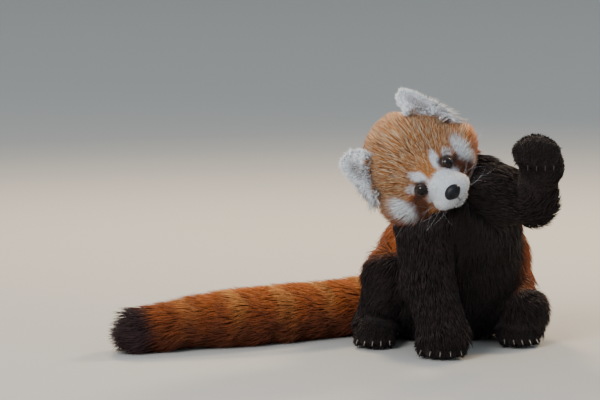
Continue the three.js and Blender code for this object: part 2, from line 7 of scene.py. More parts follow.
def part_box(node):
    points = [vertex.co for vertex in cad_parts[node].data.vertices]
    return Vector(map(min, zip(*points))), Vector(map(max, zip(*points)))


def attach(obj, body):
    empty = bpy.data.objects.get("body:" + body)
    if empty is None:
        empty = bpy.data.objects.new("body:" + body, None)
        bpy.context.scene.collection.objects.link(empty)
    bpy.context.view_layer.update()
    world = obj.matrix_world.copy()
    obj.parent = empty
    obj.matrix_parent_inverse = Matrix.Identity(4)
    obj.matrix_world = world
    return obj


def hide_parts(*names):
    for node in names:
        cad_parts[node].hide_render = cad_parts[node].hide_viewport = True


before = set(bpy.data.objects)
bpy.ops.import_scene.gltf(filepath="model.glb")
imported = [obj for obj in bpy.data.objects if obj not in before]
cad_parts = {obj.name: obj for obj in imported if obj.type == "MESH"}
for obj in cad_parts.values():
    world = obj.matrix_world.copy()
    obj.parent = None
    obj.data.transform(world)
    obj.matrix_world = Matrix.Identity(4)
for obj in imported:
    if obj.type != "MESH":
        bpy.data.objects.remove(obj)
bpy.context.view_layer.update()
draw = np.random.default_rng(11)

# The stage: a pale floor that curves up into a pale wall, with soft light from the front and warm light from
# behind, as low sun gives. The camera stands 4.3 m off and looks a little down. Places are in millimetres from
# the middle of the planted forepaw, here and on the animal, and "home" is that paw's place in metres.
nose_low, nose_high = (Vector(corner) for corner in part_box("nose"))
NOSE_IN_HEAD = np.array([0.0, -80.0, -19.0])


def turned(axis, angle):
    return np.array(Matrix.Rotation(np.radians(angle), 3, axis))


head_turn = turned("X", -9.5) @ turned("Y", -47.5) @ turned("X", 24)
head_centre = np.array([-21.0, 44.0, 243.0])
home = (nose_low + nose_high) / 2 - Vector(head_centre + head_turn @ NOSE_IN_HEAD) / 1000
home.z = 0


def placed(point):
    """A place in metres from one in millimetres beside the planted paw."""
    return Vector(point) / 1000 + home


def material(name, roughness, **sockets):
    """A new material with its shader, and the tree that its pattern nodes go into."""
    made = bpy.data.materials.new(name)
    made.use_nodes = True
    shader = made.node_tree.nodes["Principled BSDF"]
    shader.inputs["Roughness"].default_value = roughness
    for socket, value in sockets.items():
        shader.inputs[socket.replace("_", " ")].default_value = value
    return made, made.node_tree, shader


def wire(start, output, end, socket):
    """Joins one node's output to another's input."""
    start.id_data.links.new(start.outputs[output], end.inputs[socket])


def added(name, data):
    """A new object of the given mesh, lamp or camera, in the scene."""
    holder = bpy.data.objects.new(name, data)
    bpy.context.collection.objects.link(holder)
    return holder


def made_of(name, shape, finish):
    """A smooth-shaded object of one material, from a finished shape."""
    mesh = bpy.data.meshes.new(name)
    shape.to_mesh(mesh)
    shape.free()
    mesh.polygons.foreach_set("use_smooth", [True] * len(mesh.polygons))
    mesh.materials.append(finish)
    return added(name, mesh)


floor_bm = bmesh.new()
floor_half, wall_foot = 10, 11  # metres
bmesh.ops.create_grid(floor_bm, x_segments=1, y_segments=1, size=floor_half)
bmesh.ops.translate(floor_bm, vec=(0, wall_foot - floor_half, 0), verts=floor_bm.verts)
wall_edge = [e for e in floor_bm.edges if all(v.co.y > wall_foot - 1 for v in e.verts)]
wall = bmesh.ops.extrude_edge_only(floor_bm, edges=wall_edge)
wall_verts = [v for v in wall["geom"] if isinstance(v, bmesh.types.BMVert)]
bmesh.ops.translate(floor_bm, vec=(0, 0.8, 9), verts=wall_verts)
crease = [e for e in floor_bm.edges if all(abs(v.co.y - wall_foot) < 0.01 and v.co.z < 0.01 for v in e.verts)]
bmesh.ops.bevel(floor_bm, geom=crease, offset=3, segments=16, profile=0.5, affect="EDGES", material=-1)
floor_paint, _, _ = material("pale_floor", 0.85, Base_Color=(0.46, 0.46, 0.44, 1))
floor = made_of("floor", floor_bm, floor_paint)

world = bpy.data.worlds.new("room")
world.use_nodes = True
sky = world.node_tree.nodes["Background"]
sky.inputs["Color"].default_value = (0.86, 0.93, 1.0, 1)
sky.inputs["Strength"].default_value = 0.72
bpy.context.scene.world = world


def aimed(holder, place, target):
    """Stands a lamp or camera at one place and turns it towards another."""
    holder.location = placed(place)
    holder.rotation_euler = (placed(target) - placed(place)).to_track_quat("-Z", "Y").to_euler()


def lamp(name, place, target, size, power, colour):
    light = bpy.data.lights.new(name, "AREA")
    light.shape = "DISK"
    light.size = size
    light.energy = power
    light.color = colour
    aimed(added(name, light), place, target)


LOW_SUN = (1.0, 0.74, 0.46)
lamp("front_left", (-1500, -2100, 1700), (0, 60, 160), 1.6, 72, (1.0, 0.98, 0.96))
lamp("back_left", (-700, 1700, 1500), (0, 80, 200), 0.5, 38, LOW_SUN)
lamp("back_right", (1100, 1600, 1500), (20, 80, 180), 0.5, 44, LOW_SUN)

camera = added("camera", bpy.data.cameras.new("camera"))
camera.data.lens = 198.5
camera.data.clip_end = 50
aimed(camera, (0, -4241, 709.7), (-182, 0, 207))
bpy.context.scene.camera = camera


# The skin: one closed hide over the whole animal, from lips to toes to tail tip. It lies under the coat by
# the length that the hair stands off the body, deep under the trunk's coat and close under the face's.
def smooth(value, low, high):
    """How far a value has come from low to high, 0 to 1, with soft ends."""
    share = np.clip((value - low) / (high - low), 0, 1)
    return share * share * (3 - 2 * share)


def unit(vectors):
    return vectors / np.maximum(np.linalg.norm(vectors, axis=-1, keepdims=True), 1e-9)


def bone(points, start, end, thick_start, thick_end):
    """How far places are from a tapered rod with round ends, less than nothing inside it."""
    start, end = np.array(start, float), np.array(end, float)
    along = end - start
    share = np.clip((points - start) @ along / (along @ along), 0, 1)
    nearest = start + share[:, None] * along
    return np.linalg.norm(points - nearest, axis=1) - thick_start - (thick_end - thick_start) * share


def egg(points, centre, radii):
    """The same for an egg."""
    scaled = (points - np.array(centre, float)) / np.array(radii, float)
    whole = np.linalg.norm(scaled, axis=1)
    slope = np.maximum(np.linalg.norm(scaled / np.array(radii, float), axis=1), 1e-6)
    return whole * (whole - 1) / slope


def blend(reach, fields):
    """The same for several forms at once, with the creases between them filled out over the reach."""
    joined = fields[0]
    for other in fields[1:]:
        share = np.maximum(reach - np.abs(joined - other), 0) / reach
        joined = np.minimum(joined, other) - share * share * reach / 4
    return joined


def in_head(points):
    return (points - head_centre) @ head_turn


def up_face(local):
    """Height over the line of the eyes, as seen square on from the front."""
    return local[:, 2] * 0.9135 + local[:, 1] * 0.4067 + 16.1


def both_sides(local):
    """Places on the head, with its right side folded over onto its left."""
    return np.abs(local) * [1, 0, 0] + local * [0, 1, 1]


def from_face(local):
    """Distance from the middle of the face, as seen square on from the front."""
    return np.hypot(local[:, 0], up_face(local) + 14)


def over_lips(local):
    """Height over the line where the lips meet, which rises towards the corners of the mouth."""
    return local[:, 2] - (0.012 * local[:, 0] ** 2 - 38)


def head_form(points):
    q = in_head(points)
    folded = both_sides(q)
    form = blend(
        13,
        [
            egg(q, (0, 18, 12), (68, 64, 67)),
            egg(q, (0, -16, 12), (44, 32, 34)),
            egg(folded, (42, 0, -12), (33, 37, 35)),
            bone(q, (0, -30, -12), (0, -60, -18), 29, 19),
            egg(folded, (13, -58, -26), (17, 17, 14)),
            bone(q, (0, -26, -34), (0, -56, -38), 20, 11),
        ],
    )
    depth = 2.2 + 6.8 * smooth(from_face(q), 30, 62)
    depth = np.where(q[:, 1] > 0, np.maximum(depth, 9 * smooth(q[:, 1], 0, 12)), depth)
    groove = np.exp(-((over_lips(q) / 1.5) ** 2)) * (q[:, 1] < -40) * (np.abs(q[:, 0]) < 25)
    return form + depth + 1.6 * groove


TRUNK_TURN = turned("Z", 22)
TRUNK = (  # the middle of each swell, its radii with the coat on, and its radii as a rough hide
    ((8, 186, 78), (105, 86, 82), (93, 74, 72)),
    ((18, 148, 114), (104, 80, 86), (92, 68, 74)),
    ((28, 104, 172), (82, 60, 68), (70, 50, 58)),
)


def trunk_form(points):
    swells = [egg((points - middle) @ TRUNK_TURN, (0, 0, 0), radii) for middle, radii, _ in TRUNK]
    return blend(34, swells) + 12 * smooth(points[:, 2], 2, 38)


NECK = (30, 96, 192), (-28, 80, 236)


def neck_form(points):
    return bone(points, *NECK, 60, 61) + 11


WRIST = (130, 18, 250)
LIMBS = {  # the root, the bend, the end, and half the thickness at each with the coat on
    "arm_right": ((-20, 66, 176), (-17, 44, 98), (4, 16, 34), (45, 38, 34)),
    "arm_left": ((50, 80, 214), (118, 56, 200), WRIST, (46, 34, 31)),
    "leg_right": ((-48, 160, 72), (-70, 108, 92), (-84, 138, 30), (52, 34, 31)),
    "leg_left": ((70, 184, 64), (108, 136, 42), (98, 156, 30), (56, 36, 32)),
}
LIMB_COAT = 8
FEET = {  # the ankle, the turn in degrees, the length, half the width, and half the thickness of a toe
    "leg_right": ((-84, 132, 0), -4, 62, 31, 9.5),
    "leg_left": ((98, 150, 0), 8, 62, 31, 9.5),
    "arm_right": ((3, 20, 0), -4, 32, 37, 10),
}


def toes_of(length, width, toe):
    step = (width * 2 - toe) / 5
    return [np.array([i * step, -length + 3.2 * i * i, toe]) for i in range(-2, 3)]


def foot_form(points, ankle, turn, length, width, toe):
    q = (points - np.array(ankle, float)) @ turned("Z", turn)
    toes = [bone(q, t * [0.8, 0.6, 1.4], t, toe + 2, toe) for t in toes_of(length, width, toe)]
    sole = egg(q, (0, -length * 0.45, 17), (width, length * 0.62, 20))
    instep = bone(q, (0, 4, 24), (0, -length * 0.4, 18), width * 0.85, width * 0.6)
    return blend(6, [blend(9, [sole, instep]), *toes]) + 3.5


FIST = np.array([122.0, 2.0, 270.0])
KNUCKLES = []
for finger in range(-2, 3):
    across = FIST[0] + finger * 12.6
    arch = abs(finger)
    knuckle = np.array([across - finger * 0.8, FIST[1] - 15 + arch * 2.5, FIST[2] + 14 - arch * 4.5])
    fingertip = np.array([across - finger * 1.5, FIST[1] - 21 + arch * 3, FIST[2] - 10])
    KNUCKLES.append((knuckle, fingertip))


def fist_form(points):
    fingers = [bone(points, a, b, 9.6, 8.6) for a, b in KNUCKLES]
    wrist = bone(points, WRIST, FIST, 28, 24)
    return blend(7, [blend(8, [egg(points, FIST, (33, 25, 24)), wrist]), *fingers]) + 3.8


def limb_form(points, root, bend, end, thick):
    upper = bone(points, root, bend, thick[0], thick[1])
    lower = bone(points, bend, end, thick[1], thick[2])
    return blend(8, [upper, lower]) + LIMB_COAT


TAIL_ROUTE = np.array(
    [(-14, 244, 54), (-70, 238, 40), (-124, 207, 36), (-190, 159, 36)]
    + [(-254, 115, 36), (-330, 72, 35), (-388, 43, 30)],
    float,
)


def along_tail(count):
    """Evenly spaced places down the middle of the tail, on a smooth curve through its route."""
    ends = np.vstack([2 * TAIL_ROUTE[0] - TAIL_ROUTE[1], TAIL_ROUTE, 2 * TAIL_ROUTE[-1] - TAIL_ROUTE[-2]])
    fine = []
    for a, b, c, d in zip(ends, ends[1:], ends[2:], ends[3:]):
        t = np.linspace(0, 1, 20, endpoint=False)[:, None]
        bend, twist = 2 * a - 5 * b + 4 * c - d, 3 * b - a - 3 * c + d
        fine.append(0.5 * (2 * b + (c - a) * t + bend * t**2 + twist * t**3))
    fine = np.vstack([*fine, ends[-2]])
    run = np.concatenate([[0], np.cumsum(np.linalg.norm(np.diff(fine, axis=0), axis=1))])
    wanted = np.linspace(0, run[-1], count)
    return np.stack([np.interp(wanted, run, fine[:, i]) for i in range(3)], axis=1)


tail_share = np.linspace(0, 1, 25)
tail_line = along_tail(len(tail_share))
tail_thick = 30 + 8 * smooth(tail_share, 0, 0.22) - 9 * smooth(tail_share, 0.62, 1)


def tail_form(points):
    joints = zip(tail_line, tail_line[1:], tail_thick, tail_thick[1:])
    return np.minimum.reduce([bone(points, *joint) for joint in joints]) + 13 * smooth(points[:, 2], 2, 34)


REGIONS = ["head", "trunk", "neck", "tail", *LIMBS]
REGIONS += ["foot_arm_right", "foot_leg_right", "foot_leg_left", "fist"]


def forms(points):
    """How far each part of the body is from each place, one row a part."""
    found = [head_form(points), trunk_form(points), neck_form(points), tail_form(points)]
    found += [limb_form(points, *LIMBS[name]) for name in LIMBS]
    found += [foot_form(points, *FEET[name]) for name in ("arm_right", "leg_right", "leg_left")]
    return np.array([*found, fist_form(points)])


def flesh(points):
    head, trunk, neck, tail, *others = forms(points)
    limbs, paws = others[: len(LIMBS)], others[len(LIMBS) :]
    body = blend(22, [blend(34, [trunk, neck]), *limbs])
    return blend(16, [blend(9, [body, blend(20, [head, neck]), tail]), *paws])


def slope_of(field, points):
    steps = np.eye(3) * 0.6
    return unit(np.stack([field(points + step) - field(points - step) for step in steps], axis=1))


EAR_ROOTS = np.array([36.0, 12.0, 70.0]), np.array([75.0, 12.0, 13.0])
EAR_TIPS = {1: np.array([55.0, 4.0, 97.0]), -1: np.array([70.0, 4.0, 90.0])}
EAR_MIDDLE = [56, 12, 41]


def from_ears(local):
    """Distance from the middle of the nearer ear's root."""
    return np.linalg.norm(both_sides(local) - EAR_MIDDLE, axis=1)


def ear_axes(side):
    """The middle of an ear's root, half its width, its rise to the tip and the way its cup faces."""
    flip = np.array([side, 1, 1])
    inner, outer = EAR_ROOTS
    root = (inner + outer) / 2 * flip
    half = (outer - inner) / 2 * flip
    rise = EAR_TIPS[side] * flip - root
    front = unit(np.cross(half, rise)) * side
    return root, half, rise, front


def brought_home(shape):
    """Takes a shape from millimetres beside the planted paw to its place in metres."""
    bmesh.ops.scale(shape, vec=(0.001,) * 3, verts=shape.verts)
    bmesh.ops.translate(shape, vec=home, verts=shape.verts)


hide_bm = bmesh.new()


def add_egg(centre, radii, turn=np.eye(3), about=np.zeros(3)):
    shape = Matrix.Translation(Vector(turn @ np.array(centre, float) + about))
    shape = shape @ Matrix(turn).to_4x4() @ Matrix.Diagonal((*radii, 1))
    bmesh.ops.create_icosphere(hide_bm, subdivisions=3, radius=1, matrix=shape)


def add_bone(start, end, thick_start, thick_end):
    for share in np.linspace(0, 1, 7):
        middle = np.array(start, float) * (1 - share) + np.array(end, float) * share
        add_egg(middle, [thick_start + (thick_end - thick_start) * share] * 3)


for centre, radii in (
    ((0, 18, 12), (60, 56, 59)),
    ((0, -16, 12), (40, 28, 30)),
    ((42, 0, -12), (26, 30, 28)),
    ((-42, 0, -12), (26, 30, 28)),
    ((0, -30, -12), (26, 26, 26)),
    ((0, -45, -15), (22, 22, 22)),
    ((0, -60, -20), (20, 18, 18)),
    ((0, -40, -36), (14, 18, 12)),
):
    add_egg(centre, radii, head_turn, head_centre)
for middle, _, radii in TRUNK:
    add_egg((0, 0, 0), radii, TRUNK_TURN, np.array(middle, float))
add_bone(*NECK, 49, 50)
for root, bend, end, thick in LIMBS.values():
    add_bone(root, bend, thick[0] - LIMB_COAT, thick[1] - LIMB_COAT)
    add_bone(bend, end, thick[1] - LIMB_COAT, thick[2] - LIMB_COAT)
for ankle, turn, length, width, toe in FEET.values():
    spun = turned("Z", turn)
    add_egg((0, -length * 0.45, 17), (width - 3, length * 0.62 - 3, 16), spun, np.array(ankle, float))
    add_egg((0, 2, 22), (width * 0.8, width * 0.7, 20), spun, np.array(ankle, float))
    for tip in toes_of(length, width, toe):
        add_egg(tip, [toe - 3] * 3, spun, np.array(ankle, float))
        add_egg(tip * [0.9, 0.8, 1.2], [toe - 2] * 3, spun, np.array(ankle, float))
add_bone(WRIST, FIST, 24, 21)
for knuckle, fingertip in KNUCKLES:
    add_bone(knuckle, fingertip, 7, 6)
for place, thick in zip(along_tail(60), np.interp(np.linspace(0, 1, 60), tail_share, tail_thick)):
    add_egg(place, [thick - 12] * 3)
for side in (1, -1):
    root, half, rise, front = ear_axes(side)
    leaf = bmesh.ops.create_icosphere(hide_bm, subdivisions=4, radius=1)
    for vert in leaf["verts"]:
        x, y, z = vert.co
        wide = x * (1.04 - 0.4 * y) * (0.78 if x > 0 else 0.9)
        local = root + half * wide + rise * ((y + 1) * 0.6 - 0.32) + front * (3.4 * z + 13 * (wide**2 - 0.5))
        vert.co = head_turn @ local + head_centre
brought_home(hide_bm)
hide_mesh = bpy.data.meshes.new("skin")
hide_bm.to_mesh(hide_mesh)
hide_bm.free()
skin = added("skin", hide_mesh)
bpy.context.view_layer.objects.active = skin
remesh = skin.modifiers.new("one_hide", "REMESH")
remesh.mode = "VOXEL"
remesh.voxel_size = 0.0029
bpy.ops.object.modifier_apply(modifier="one_hide")

# The face gets smaller mesh squares than the body, for the lids, the lips and the bridge of the nose.
face_bm = bmesh.new()
face_bm.from_mesh(skin.data)
centres = np.array([f.calc_center_median() for f in face_bm.faces])
local = in_head((centres - np.array(home)) * 1000)
half_face = 46
on_face = (local[:, 1] < -22) & (np.abs(local[:, 0]) < half_face) & (np.abs(local[:, 2] + 8) < half_face)
face_edges = [e for e in face_bm.edges if any(on_face[f.index] for f in e.link_faces)]
bmesh.ops.subdivide_edges(face_bm, edges=face_edges, cuts=1, use_grid_fill=True)
bmesh.ops.triangulate(face_bm, faces=[f for f in face_bm.faces if len(f.verts) > 4])
face_bm.to_mesh(skin.data)
face_bm.free()


def rows_of(items, field, width, kind=float):
    """One field of every vertex, corner or triangle of a mesh, one row each."""
    flat = np.empty(len(items) * width, dtype=kind)
    items.foreach_get(field, flat)
    return flat.reshape(-1, width)


skin_places = (rows_of(skin.data.vertices, "co", 3) - np.array(home)) * 1000
for _ in range(3):
    off = flesh(skin_places)
    hold = np.clip(1 - (off - 5) / 4, 0, 1)  # the ears stand clear of the head's form and stay as they are
    skin_places = skin_places - slope_of(flesh, skin_places) * (np.clip(off, -9, 9) * hold)[:, None]
skin_places[:, 2] = np.maximum(skin_places[:, 2], 0.2)  # the soles and the seat rest flat on the floor
skin.data.vertices.foreach_set("co", (skin_places / 1000 + np.array(home)).ravel())
skin.data.polygons.foreach_set("use_smooth", [True] * len(skin.data.polygons))
skin.data.update()
bpy.ops.object.mode_set(mode="EDIT")
bpy.ops.mesh.select_all(action="SELECT")
bpy.ops.uv.smart_project(angle_limit=1.15, island_margin=0.001)
bpy.ops.object.mode_set(mode="OBJECT")
skin.data.uv_layers[0].name = "OFBake"
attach(skin, "root")
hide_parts("head", "jaw", "neck", "torso", "tail", "ear_left", "ear_right")
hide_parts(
    *[f"{part}_{side}" for part in ("upper_arm", "forearm", "forepaw") for side in ("left", "right")]
)
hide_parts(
    *[f"{part}_{side}" for part in ("thigh", "shank", "hind_foot") for side in ("left", "right")]
)


# The markings: the same colours on the hide and on the hair that grows from it. The face is golden with white
# brows, cheeks and muzzle and a dark tear band under each eye, the back, flanks and tail are russet, and the
# throat, belly and legs are nearly black.
def tint(*srgb):
    """A colour as paint charts give it, 0 to 255, made linear."""
    share = np.array(srgb) / 255
    return np.where(share < 0.04045, share / 12.92, ((share + 0.055) / 1.055) ** 2.4)


GOLD = tint(182, 120, 64)
GRIZZLE = tint(208, 180, 146)
AMBER = tint(190, 108, 46)
RUST = tint(174, 90, 36)
DEEP_RUST = tint(124, 56, 26)
BAND = tint(106, 60, 38)
DARK_BAND = tint(58, 37, 30)
SNOW = tint(234, 240, 248)
EAR_GREY = tint(160, 156, 158)
SOOT = tint(36, 25, 25)
TAIL_PALE = tint(222, 152, 80)
TAIL_END = tint(46, 28, 30)


def mixed(colours, share, other):
    return colours * (1 - share[:, None]) + other * share[:, None]


def patch(x, y, centre, radii, lean=0, soft=0.3):
    """One where a point is well inside a leaning oval, falling to nothing at its soft edge."""
    c, s = np.cos(np.radians(lean)), np.sin(np.radians(lean))
    dx, dy = x - centre[0], y - centre[1]
    away = np.hypot((dx * c + dy * s) / radii[0], (dy * c - dx * s) / radii[1])
    return 1 - smooth(away, 1 - soft, 1 + soft)


def wander(points, scale, seed):
    """A smooth drift through space, mostly between -1 and 1, for uneven edges and colours."""
    waves = np.random.default_rng(seed)
    total = np.zeros(len(points))
    for _ in range(5):
        way = unit(waves.normal(size=3)) / scale * waves.uniform(0.7, 1.6)
        total += np.sin(points @ way * 2 * np.pi + waves.uniform(0, 6.28))
    return total / 2.6


def ear_place(points, side):
    """Across an ear, -1 to 1, up it, 0 to 1, and out of its cup in millimetres."""
    root, half, rise, front = ear_axes(side)
    basis = np.stack([half, rise, front], axis=1)
    return (in_head(points) - root) @ np.linalg.inv(basis).T


EYE_ACROSS = 24.6  # from the middle of the face to the middle of an eye


def face_colours(points):
    q = in_head(points)
    side = np.abs(q[:, 0])
    outer = side - 5.5 * (q[:, 0] < 0)  # the tear bands and cheeks lie farther out on the right
    up = up_face(q) + wander(points, 16, 3) * 1.2
    front = q[:, 1] < 8
    by_ear = 1 - smooth(from_ears(q), 22, 40)
    crown = smooth(np.hypot(q[:, 0], (up - 16) * 0.8), 56, 76) * (1 - 0.8 * by_ear)
    tear = np.maximum(patch(outer, up, (35, -13), (13, 12), -22), patch(outer, up, (40, -30), (10, 19), -8))
    muzzle = patch(side, up, (0, -27), (30, 27), 0, 0.12) * (q[:, 1] < -34)
    lips = np.abs(over_lips(q)) + np.maximum(side - 20, 0)
    parting = np.maximum(side, np.abs(q[:, 2] + 33) - 4.5)
    mouth = 1 - smooth(np.minimum(lips, parting), 0.8, 2.4)
    rim = patch(side, up, (EYE_ACROSS, 0), (12.5, 9.5), -25, 0.2)
    colours = np.tile(GOLD, (len(points), 1))
    for share, colour in (
        (crown, AMBER),
        (smooth(q[:, 1], 26, 50), RUST),
        (patch(side, up, (25, -2), (17, 14), 0, 0.35) * front * 0.75, AMBER),
        (patch(side, up, (66, -32), (20, 26), 0, 0.4), DEEP_RUST),
        (tear * front, BAND),
        (patch(side, up, (47, -50), (34, 21), 20) * (q[:, 1] < 34), DARK_BAND),
        (patch(outer, up, (46.5, -1.5), (17, 7.8), 86, 0.35) * front, SNOW),
        (patch(side, up, (14.8, 11.5), (11.5, 6), 70, 0.3) * front, SNOW),
        (patch(side, up, (31, 8), (6.5, 3.8), -40, 0.35) * front * 0.8, SNOW),
        (muzzle, SNOW),
        (mouth * (q[:, 1] < -46) * 0.75, EAR_GREY * 0.5),
        (rim * (q[:, 1] < -25) * 0.9, DARK_BAND),
        (patch(side, q[:, 2], (0, -62), (40, 20)) * (q[:, 1] > -40), SOOT),
    ):
        colours = mixed(colours, share, colour)
    for ear in (1, -1):
        across, rise, out = ear_place(points, ear).T
        in_cup = patch(across, rise, (0, 0.2), (0.9, 0.22), 0, 0.25) * smooth(out, -8, -4) * (out < 14)
        colours = mixed(colours, in_cup, SNOW * 0.85)
    return colours


def ear_colours(points, normals, side):
    across, rise, _ = ear_place(points, side).T
    facing = normals @ (head_turn @ unit(ear_axes(side)[3]))
    colours = np.tile(SNOW, (len(points), 1))
    # painted shade: the inside of the cup is greyed where it faces forward, as the shade in the ear's hollow
    cup = patch(across, rise, (-0.1, 0.3), (0.3, 0.3), 0, 0.6)
    colours = mixed(colours, cup * smooth(facing, 0, 0.4) * 0.8, EAR_GREY)
    back = smooth(-facing, 0.1, 0.5) * patch(across, rise, (0, 0.1), (0.75, 0.45), 0, 0.4)
    return mixed(colours, back, DEEP_RUST)


def body_colours(points):
    """Russet over the back, flanks and nape, and nearly black from the throat to the belly."""
    q = (points - [18, 150, 110]) @ TRUNK_TURN
    drift = wander(points, 60, 8)
    colours = mixed(np.tile(RUST, (len(points), 1)), smooth(drift, -0.4, 1), DEEP_RUST)
    colours = mixed(colours, smooth(wander(points, 22, 9), -0.2, 1.0) * 0.6, AMBER)
    low = np.clip(110 - points[:, 2], 0, 110) * (0.8 - 0.6 * smooth(q[:, 0], 0, 70))
    low += np.clip(162 - points[:, 2], 0, 70) * 0.9 * (1 - smooth(q[:, 0], -60, -20))
    ahead = -q[:, 1] - 0.25 * np.abs(q[:, 0]) + drift * 4 + low
    ahead -= np.clip(points[:, 2] - 150, 0, 80) * 0.45
    colours = mixed(colours, smooth(ahead, 14, 42), SOOT)
    nape = (1 - smooth(head_form(points), 0, 26)) * (1 - smooth(ahead, 0, 30))
    return mixed(colours, nape * 0.8, AMBER)


TAIL_PLACES = 90
TAIL_RINGS = 6.2


def tail_place(points):
    """How far down the tail each place is, 0 to 1."""
    best = np.full(len(points), 1e9)
    share = np.zeros(len(points))
    for i, place in enumerate(along_tail(TAIL_PLACES)):
        away = np.linalg.norm(points - place, axis=1)
        closer = away < best
        best[closer] = away[closer]
        share[closer] = i / (TAIL_PLACES - 1)
    return share


def tail_colours(points):
    share = tail_place(points) + wander(points, 40, 14) * 0.012
    # painted light: the top of the tail is lightened to amber
    colours = mixed(np.tile(RUST, (len(points), 1)), smooth(points[:, 2], 40, 68), AMBER * 1.1)
    rings = smooth(np.sin(share * 2 * np.pi * TAIL_RINGS + 0.6), 0.2, 0.9) * smooth(share, 0.08, 0.16)
    rings *= 1 - smooth(share, 0.8, 0.88)
    colours = mixed(colours, rings * (0.3 + 0.6 * smooth(points[:, 2], 34, 64)), TAIL_PALE)
    # painted shade: the lower side of the tail is darkened towards the floor
    under = 1 - smooth(points[:, 2] + wander(points, 26, 15) * 4, 20, 72)
    colours = mixed(colours, under * 0.92, DEEP_RUST * 0.34)
    return mixed(colours, smooth(share, 0.91, 0.985), TAIL_END)


def limb_colours(points, name):
    """Nearly black, with the body's colours where a limb grows from it and russet behind the thighs."""
    colours = mixed(np.tile(SOOT, (len(points), 1)), smooth(wander(points, 30, 6), 0, 1) * 0.4, SOOT * 1.7)
    if name.startswith("leg"):
        outward = 1 if name == "leg_left" else -1
        behind = (points[:, 1] - 150) * 0.8 + outward * (points[:, 0] - LIMBS[name][0][0]) * 0.3
        behind += (points[:, 2] - 60) * 0.5
        colours = mixed(colours, smooth(behind + wander(points, 40, 2) * 5, 0, 26), RUST)
    return mixed(colours, 1 - smooth(trunk_form(points), 2, 20), body_colours(points))


def colours_of(points, normals, region, ear):
    colours = np.tile(SOOT, (len(points), 1))  # the paws stay this colour
    makers = {"head": face_colours, "trunk": body_colours, "neck": body_colours, "tail": tail_colours}
    for name in (*makers, *LIMBS):
        chosen = (region == REGIONS.index(name)) & (ear == 0)
        here = points[chosen]
        colours[chosen] = makers[name](here) if name in makers else limb_colours(here, name)
    for side in (1, -1):
        chosen = ear == side
        colours[chosen] = ear_colours(points[chosen], normals[chosen], side)
    return colours


def sorted_out(points):
    """Which part of the body each place of the hide belongs to, and which ear, if any."""
    q = in_head(points)
    near_ears = (q[:, 2] > 4) & (np.abs(q[:, 0]) > 22) & (np.linalg.norm(q, axis=1) < 150)
    on_ear = near_ears & (flesh(points) > 1.8)
    return forms(points).argmin(axis=0), np.where(on_ear, np.sign(q[:, 0]), 0).astype(int)


skin_region, skin_ear = sorted_out(skin_places)
skin_normals = rows_of(skin.data.vertices, "normal", 3)
# painted shade: the hide is a quarter darker than the hair over it, as the coat shades it at the roots
skin_colours = colours_of(skin_places, skin_normals, skin_region, skin_ear) * 0.75


def paint(mesh, colours):
    layer = mesh.color_attributes.new("markings", "FLOAT_COLOR", "POINT")
    layer.data.foreach_set("color", np.column_stack([np.clip(colours, 0, 1), np.ones(len(colours))]).ravel())


paint(skin.data, skin_colours)

hair_grain = bpy.data.node_groups.new("hair_grain", "ShaderNodeTree")
for socket, kind in (("Colour", "Color"), ("Scale", "Float"), ("Depth", "Float")):
    hair_grain.interface.new_socket(socket, in_out="INPUT", socket_type="NodeSocket" + kind)
for socket, kind in (("Colour", "Color"), ("Height", "Float")):
    hair_grain.interface.new_socket(socket, in_out="OUTPUT", socket_type="NodeSocket" + kind)
grain_in = hair_grain.nodes.new("NodeGroupInput")
grain_out = hair_grain.nodes.new("NodeGroupOutput")
grain_where = hair_grain.nodes.new("ShaderNodeTexCoord")
grain_noise = hair_grain.nodes.new("ShaderNodeTexNoise")
grain_noise.inputs["Detail"].default_value = 4
grain_shade = hair_grain.nodes.new("ShaderNodeMix")
grain_shade.data_type = "RGBA"
grain_shade.blend_type = "MULTIPLY"
grain_ramp = hair_grain.nodes.new("ShaderNodeMapRange")
grain_ramp.inputs["To Min"].default_value = 0.55
grain_ramp.inputs["To Max"].default_value = 1.35
wire(grain_where, "Object", grain_noise, "Vector")
wire(grain_in, "Scale", grain_noise, "Scale")
wire(grain_noise, "Fac", grain_ramp, "Value")
wire(grain_in, "Depth", grain_shade, "Factor")
wire(grain_in, "Colour", grain_shade, "A")
wire(grain_ramp, "Result", grain_shade, "B")
wire(grain_shade, "Result", grain_out, "Colour")
wire(grain_noise, "Fac", grain_out, "Height")


def hairy(name, roughness, scale, depth, bump):
    """A hair material: the markings, broken up by fine grain, with a soft sheen."""
    sheen = {"Sheen_Weight": 0.04, "Sheen_Roughness": 0.5}
    made, tree, shader = material(name, roughness, Specular_IOR_Level=0.22, **sheen)
    layer = tree.nodes.new("ShaderNodeAttribute")
    layer.attribute_name = "markings"
    grain = tree.nodes.new("ShaderNodeGroup")
    grain.node_tree = hair_grain
    grain.inputs["Scale"].default_value = scale
    grain.inputs["Depth"].default_value = depth
    wire(layer, "Color", grain, "Colour")
    wire(grain, "Colour", shader, "Base Color")
    if bump:
        raised = tree.nodes.new("ShaderNodeBump")
        raised.inputs["Strength"].default_value = bump
        raised.inputs["Distance"].default_value = 0.002
        wire(grain, "Height", raised, "Height")
        wire(raised, "Normal", shader, "Normal")
    return made


skin.data.materials.append(hairy("hide", 0.8, 900, 0.7, 0.8))


# The coat: thin tufts of hair, each a tapered three-sided blade that leaves the hide at a slant and bends
# back along the body. They are short on the face and feet, and longest on the trunk and the tail.
skin.data.calc_loop_triangles()
corner_ids = rows_of(skin.data.loop_triangles, "vertices", 3, int)
corner_loops = rows_of(skin.data.loop_triangles, "loops", 3, int)
corner_unwrap = rows_of(skin.data.uv_layers["OFBake"].uv, "vector", 2)[corner_loops]
corner_a, corner_b, corner_c = (skin_places[corner_ids[:, k]] for k in range(3))
triangle_area = np.linalg.norm(np.cross(corner_b - corner_a, corner_c - corner_a), axis=1)
triangle_region = skin_region[corner_ids[:, 0]]
triangle_ear = skin_ear[corner_ids[:, 0]]


